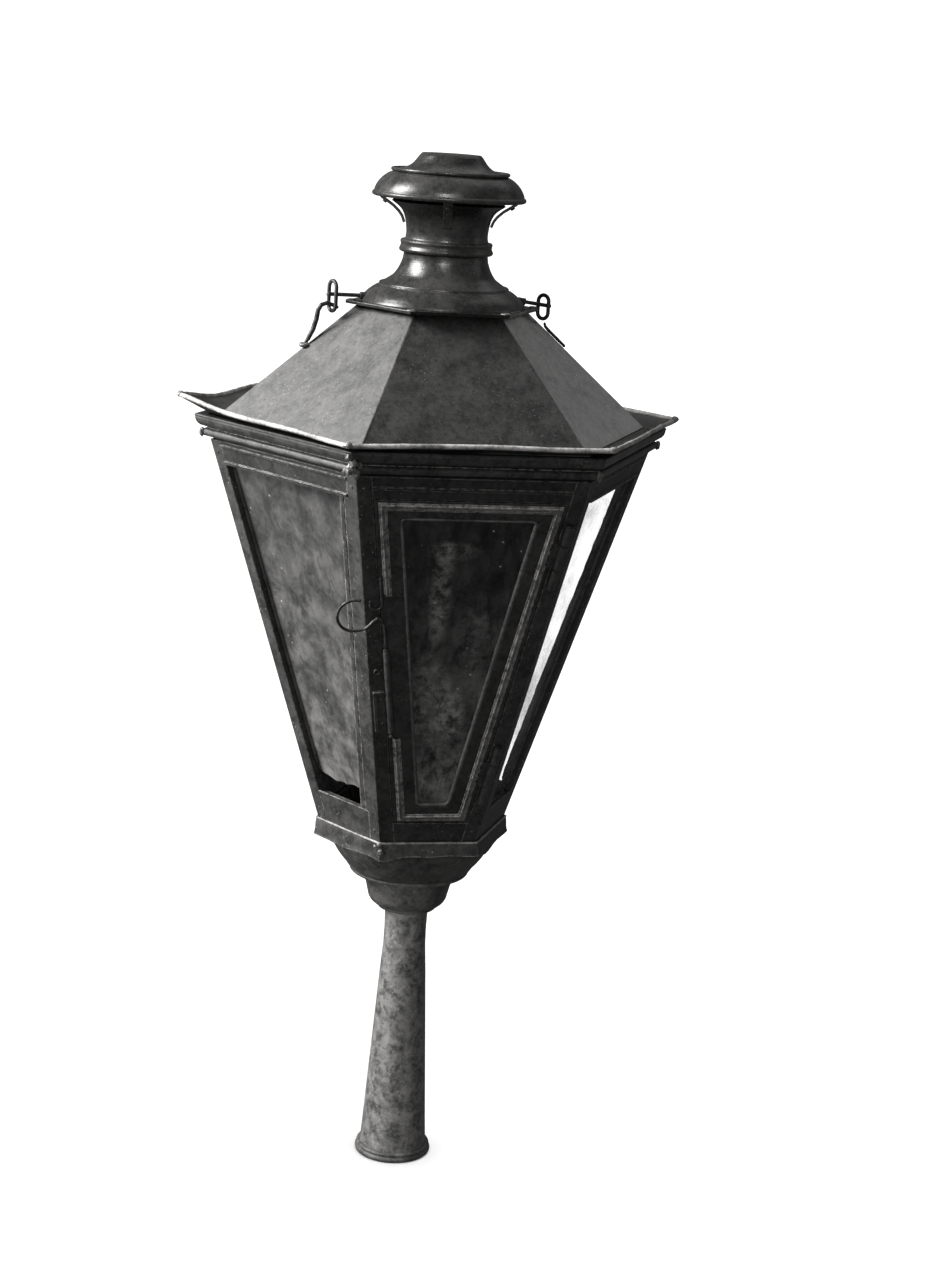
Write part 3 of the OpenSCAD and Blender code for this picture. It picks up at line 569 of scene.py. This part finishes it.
# ---------------------------------------------------------------- the broken pane and the door's glass bead
def make_left_pane():
    """The left front pane: rippled, its lower edge broken away in shallow scallops."""
    low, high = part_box("pane_left_front")
    deep = 8 * MM
    thick = 3 * MM
    side_gap = 5 * MM
    columns = 36
    rows = 12
    front = []
    back = []
    for i in range(columns + 1):
        s = 2 * i / columns - 1
        scallop = 1.6 * MM * abs(math.sin(i * 0.5 + 0.4)) + 5 * MM * noise.noise(Vector((i * 0.11, 1.3, 0)))
        v0 = up_face(low.z + 2 * MM) + scallop
        v1 = up_face(high.z)
        for depth, rows_of in ((0.0, front), (thick, back)):
            column = []
            for j in range(rows + 1):
                v = v0 + (v1 - v0) * j / rows
                u = s * (half(v) - side_gap)
                ripple = 0.25 * MM * noise.noise(Vector((u, v, 0)) * 30)
                chip = 0.7 * MM if j == 0 and depth == 0 else 0.0
                column.append(on_face(5, u, v, -deep - depth + ripple - chip))
            rows_of.append(column)
    rings = [front[i] + back[i][::-1] for i in range(columns + 1)]
    piece("pane_left_broken", [skin(rings)], "lantern", "glass_left",
          ("pane_left_front",))


def rounded_frame(k, inset, v0, v1, w, radius, steps=7):
    """Points of a trapezium with rounded corners on face k, and straight runs between them."""
    corners = [(-(half(v0) - inset), v0), (half(v0) - inset, v0), (half(v1) - inset, v1),
               (-(half(v1) - inset), v1)]
    path = []
    for i in range(4):
        here = Vector(corners[i])
        back = (Vector(corners[i - 1]) - here).normalized()
        ahead_full = Vector(corners[(i + 1) % 4]) - here
        ahead = ahead_full.normalized()
        start = here + back * radius
        end = here + ahead * radius
        for j in range(steps + 1):
            t = j / steps
            p = start * (1 - t) ** 2 + here * 2 * t * (1 - t) + end * t ** 2
            path.append(on_face(k, p.x, p.y, w))
        length = ahead_full.length - 2 * radius
        parts = int(length / (7 * MM))
        for j in range(1, parts):
            p = end + ahead * (length * j / parts)
            path.append(on_face(k, p.x, p.y, w))
    return path


def make_glass_bead():
    """The bead round the door's glass: rail and stile are its distances from the edges of the door
    and of the face."""
    low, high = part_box("door_frame")
    rail = 20.4 * MM
    stile = 41.4 * MM
    path = rounded_frame(0, stile, up_face(low.z) + rail, up_face(high.z) - rail, -1.5 * MM, 6 * MM)
    piece("glass_bead", [tube(path, 2.1 * MM, face_out(0), 0.22, 9 * MM, True, 10, 0.8)], "door",
          "putty")


# ---------------------------------------------------------------- solder, rivets and screws
def make_roof_seams():
    """A thin uneven seam down each hip; the right one stops above the hook that lies on it."""
    seams = []
    steps = 44
    last = 0.985       # shares of the hip, from the chimney's plate down
    for k in range(6):
        low = corner(60 * k, A_ROOF / COS30 - 1 * MM, roof_low.z + 0.2 * MM)
        high = corner(60 * k, plate_high.x - 4 * MM, plate_low.z - 9 * MM)
        first = 0.62 if k == 0 else 0.02
        path = [high.lerp(low, first + (last - first) * i / steps) for i in range(steps + 1)]
        seams.append(tube(path, 1.0 * MM, UP, 0.35, 7 * MM, False, 8, 0.6))
    piece("roof_seams", seams, "lantern", "roof")


def make_corner_solder():
    """A drop on each corner of the chimney's plate and of the cornice."""
    drops = []
    for k in range(6):
        plate = corner(60 * k, plate_high.x - 5.5 * MM, plate_high.z + 0.1 * MM)
        cornice = corner(60 * k, R_TOP + 9 * MM, Z_TOP + 7 * MM)
        drops.append(lump(plate, (5.5 * MM, 6 * MM, 1.6 * MM), turned(k)))
        drops.append(lump(cornice, (2.4 * MM, 3.4 * MM, 5 * MM), turned(k), 0.4))
    piece("corner_solder", drops, "lantern", "solder")


def make_cornice_joins():
    """The joint between the cornice and each face, closed from behind."""
    joins = []
    back = A_TOP - 1.6 * MM
    half_run = R_TOP / 2 - 3 * MM
    half_steps = 12
    for k in range(6):
        path = [turned(k) @ Vector((half_run * i / half_steps, -back, Z_TOP))
                for i in range(-half_steps, half_steps + 1)]
        joins.append(tube(path, 1.5 * MM, turned(k) @ Vector((0, -1, 0)), 0.2, 9 * MM))
    piece("cornice_joins", joins, "lantern", "frieze")


def make_corner_repair():
    """A heap of solder over the cornice's front left corner: out and side, height, size, in mm."""
    mess = []
    base = corner(-120, R_TOP)
    turn = turned(-2)
    for out, side, z, size in ((8, 3, 3, 4.2), (10, -3, 8, 4.6), (12.5, 2, 14, 4), (15.5, -2, 20, 3.6),
                               (9, 7, 12, 3), (7, -8, 5, 2.8)):
        middle = base + turn @ Vector((out * MM, side * MM, 0)) + Vector((0, 0, Z_TOP + z * MM))
        mess.append(lump(middle, (size * MM * 0.7, size * MM, size * MM * 1.1), turn, 0.5, 5 * MM))
    piece("corner_repair", mess, "lantern", "solder")


def make_rim_solder():
    """A pale drop on each corner of the rim's rolled edge, partly rubbed and partly painted highlight."""
    rim = []
    for k in range(6):
        middle = bend_rim(corner(60 * k, A_RIM / COS30 - 1.5 * MM, Z_RIM + 0.6 * MM), A_RIM)
        rim.append(lump(middle, (4.2 * MM, 5 * MM, 2.9 * MM), turned(k), 0.35))
    piece("rim_solder", rim, "lantern", "bright")


def make_hook_solder():
    """The drop that holds the left hook's foot on its hip."""
    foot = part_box("roof_hooks")[0]
    middle = Vector((foot.x + 2 * MM, 0, foot.z + 1.5 * MM))
    piece("hook_solder", [lump(middle, (6 * MM, 5 * MM, 3 * MM), None, 0.35)], "lantern",
          "solder")


def middle_height(node):
    low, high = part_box(node)
    return (low.z + high.z) / 2


def make_strap_rivets():
    """Three heads in the middle of each of the door's hinge straps."""
    from_edge = 21.6 * MM
    strap_front = 0.9 * MM
    for name in ("hinge_strap_upper", "hinge_strap_lower"):
        heads = []
        for dz in (-7.5, 0.5, 8):
            v = up_face(middle_height(name) + dz * MM)
            place = on_face(0, half(v) - from_edge, v, strap_front)
            heads.append(stud(place, face_out(0), 1.9 * MM, 1.5 * MM))
        piece(name + "_rivets", heads, "door", "fitting")


def make_keeper_screws():
    """A slotted screw near the top and the foot of the keeper's plate."""
    screws = []
    from_edge = 9.8 * MM
    plate_front = 1.5 * MM
    for dz in (-13.6, 13.6):
        v = up_face(middle_height("keeper_plate") + dz * MM)
        place = on_face(0, from_edge - half(v), v, plate_front)
        screws.append(stud(place, face_out(0), 2.3 * MM, 1.5 * MM, True))
    piece("keeper_screws", screws, "lantern", "fitting")


def make_post_rivets():
    """A small head near each end of each post, on both of its faces."""
    pins = []
    from_end = 12 * MM
    from_edge = 7.5 * MM
    for k in range(6):
        for side in (-1, 1):
            for z in (Z_BODY + from_end, Z_TOP - from_end):
                v = up_face(z)
                place = on_face(k, side * (half(v) - from_edge), v, 0)
                pins.append(stud(place, face_out(k), 1.5 * MM, 0.9 * MM))
    piece("post_rivets", pins, "lantern", "frame")


def make_putty():
    """A thin uneven fillet of old putty where each fixed pane meets its frame. The left front pane is
    broken off at its foot, and a wide stop covers the edge of it beside the door."""
    depth = -7.2 * MM
    edge_steps = 60
    head_steps = 30
    v1 = up_face(Z_TOP - 27 * MM)
    for name, k in (("pane_right_front", 1), ("pane_right_back", 2), ("pane_back", 3),
                    ("pane_left_back", 4), ("pane_left_front", 5)):
        v0 = up_face(Z_BODY + (60 if k == 5 else 36) * MM)
        paths = []
        for side in (-1, 1):
            edge = 29 * MM if k == 5 and side == 1 else 16.4 * MM
            heights = [v0 + (v1 - v0) * i / edge_steps for i in range(edge_steps + 1)]
            paths.append([on_face(k, side * (half(v) - edge), v, depth) for v in heights])
        wide = half(v1) - 17 * MM
        paths.append([on_face(k, (2 * i / head_steps - 1) * wide, v1, depth) for i in range(head_steps + 1)])
        beads = [tube(path, 1.7 * MM, face_out(k), 0.45, 7 * MM, False, 8) for path in paths]
        piece(name + "_putty", beads, "lantern", "putty")


make_rim()
make_flange()
make_left_pane()
make_glass_bead()
make_roof_seams()
make_corner_solder()
make_cornice_joins()
make_corner_repair()
make_rim_solder()
make_hook_solder()
make_strap_rivets()
make_keeper_screws()
make_post_rivets()
make_putty()


# ---------------------------------------------------------------- camera, floor, lights
def aim(obj, place, target):
    obj.location = place
    obj.rotation_euler = (Vector(target) - Vector(place)).to_track_quat("-Z", "Y").to_euler()


def make_camera():
    """From the front, a little to the left and above, and rolled a little, so that the lantern leans."""
    place = Vector((-0.4957, -2.36, 1.1594))
    yaw = math.radians(13.11)
    pitch = math.radians(13.53)
    roll = math.radians(3.75)
    ahead = Vector((math.sin(yaw) * math.cos(pitch), math.cos(yaw) * math.cos(pitch), -math.sin(pitch)))
    right = Vector((math.cos(yaw), -math.sin(yaw), 0))
    up = right.cross(ahead)
    side = right * math.cos(roll) + up * math.sin(roll)
    top = up * math.cos(roll) - right * math.sin(roll)
    data = bpy.data.cameras.new("camera")
    data.lens = 66.17
    data.sensor_width = 36
    cam = bpy.data.objects.new("camera", data)
    bpy.context.scene.collection.objects.link(cam)
    turn = Matrix((side, top, -ahead)).transposed().to_4x4()
    cam.matrix_world = Matrix.Translation(place) @ turn
    bpy.context.scene.camera = cam


def make_floor():
    """A pale floor that throws no light of its own back on the object."""
    bpy.ops.mesh.primitive_plane_add(size=80)
    floor = bpy.context.object
    floor.name = "floor"
    k = Look("pale_floor", Roughness=0.9)
    k.set("Base Color", (0.92, 0.92, 0.92, 1))
    k.set("Specular IOR Level", 0.1)
    floor.data.materials.append(k.mat)
    floor.visible_diffuse = False
    floor.visible_glossy = False
    floor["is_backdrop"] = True
    return floor


def area_light(name, place, target, size, watts, lit):
    """A rectangular lamp that lights only the pieces in the set lit."""
    data = bpy.data.lights.new(name, "AREA")
    data.shape = "RECTANGLE"
    data.size, data.size_y = size
    data.energy = watts
    obj = bpy.data.objects.new(name, data)
    bpy.context.scene.collection.objects.link(obj)
    aim(obj, place, target)
    obj.light_linking.receiver_collection = lit


CHIMNEY = ("chimney_dome", "neck_ring", "chimney_trumpet", "cap_dome", "cap_crown")
ROOF = ("roof_panels", "chimney_plate", "roof_seams")
LOWER = ("stem_tube", "foot_ring", "stem_collar", "lower_cup", "ledge_ring", "flange_worn", "flange_fold")
RAISED = ("door_bead", "glass_bead", "latch_tube", "latch_wire", "keeper_plate", "keeper_screws",
          "keeper_eye", "keeper_clip", "rim_wire")


def lit_set(name, objects):
    """A set of pieces for a lamp to light."""
    lit = bpy.data.collections.new(name)
    for obj in objects:
        lit.objects.link(obj)
    return lit


def make_lights(floor):
    """key is a big soft window high on the left, and roof_left and roof_right take its place on the
    roof. low is for the stem, beads for the small raised parts, glow for the body's left side. side
    and top are weak lights on everything. fill comes from the camera's side, and front is the weaker
    one for the chimney, which has a narrow sheen of its own. even lights only the floor."""
    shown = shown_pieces()
    whole = lit_set("lit_object", shown)
    roof = lit_set("lit_roof", [obj for obj in shown if obj.name in ROOF])
    walls = lit_set("lit_all_but_roof", [obj for obj in shown if obj.name not in ROOF])
    chimney = lit_set("lit_chimney", [obj for obj in shown if obj.name in CHIMNEY])
    lower = lit_set("lit_lower", [obj for obj in shown if obj.name in LOWER])
    under = lit_set("lit_under_roof", [obj for obj in shown if obj.name not in CHIMNEY + ROOF])
    body = lit_set("lit_body", [obj for obj in shown if obj.name not in CHIMNEY + ROOF + LOWER])
    raised = lit_set("lit_raised", [obj for obj in shown if obj.name in RAISED])
    middle = (0, 0, 0.72)
    on_roof = (0, 0, 0.86)
    on_stem = (0, 0, 0.3)
    on_chimney = (0, 0, 1.0)
    area_light("key", (-2.0, 0.3, 2.15), middle, (0.9, 1.1), 124, walls)
    area_light("roof_left", (-2.0, 0.62, 1.95), on_roof, (0.9, 1.1), 128, roof)
    area_light("roof_right", (2.2, 0.72, 1.6), on_roof, (0.9, 0.9), 21, roof)
    area_light("low", (-2.0, -1.3, 0.45), on_stem, (0.9, 0.9), 24, lower)
    area_light("beads", (-2.0, -0.95, 2.02), middle, (0.4, 0.4), 34, raised)
    area_light("side", (2.3, -0.2, 1.6), middle, (0.8, 1.4), 1.5, whole)
    area_light("top", (0.7, 0.9, 2.8), (0, 0, 0.85), (2.0, 2.0), 6, whole)
    area_light("glow", (-2.4, 0.2, 0.75), middle, (0.9, 1.2), 40, body)
    area_light("fill", (-0.9, -2.8, 1.5), middle, (1.2, 1.6), 9.5, under)
    area_light("front", (-0.9, -2.8, 1.5), middle, (1.2, 1.6), 2.5, chimney)
    area_light("sheen", (-0.72, -2.35, 2.3), on_chimney, (0.1, 0.4), 22, chimney)
    data = bpy.data.lights.new("even", "SUN")
    data.energy = 4.6
    data.angle = math.radians(90)
    sun = bpy.data.objects.new("even", data)
    bpy.context.scene.collection.objects.link(sun)
    sun.light_linking.receiver_collection = lit_set("lit_floor", [floor])


def make_world():
    """White where the camera sees it, and much weaker as a light."""
    world = bpy.data.worlds.new("studio")
    bpy.context.scene.world = world
    world.use_nodes = True
    tree = world.node_tree
    back = tree.nodes["Background"]
    path = tree.nodes.new("ShaderNodeLightPath")
    seen = tree.nodes.new("ShaderNodeMapRange")
    seen.inputs["To Min"].default_value = 0.09
    seen.inputs["To Max"].default_value = 1.0
    tree.links.new(path.outputs["Is Camera Ray"], seen.inputs["Value"])
    tree.links.new(seen.outputs["Result"], back.inputs["Strength"])
    back.inputs["Color"].default_value = (1, 1, 1, 1)


make_camera()
make_lights(make_floor())
make_world()
bpy.context.scene.view_settings.view_transform = "Standard"
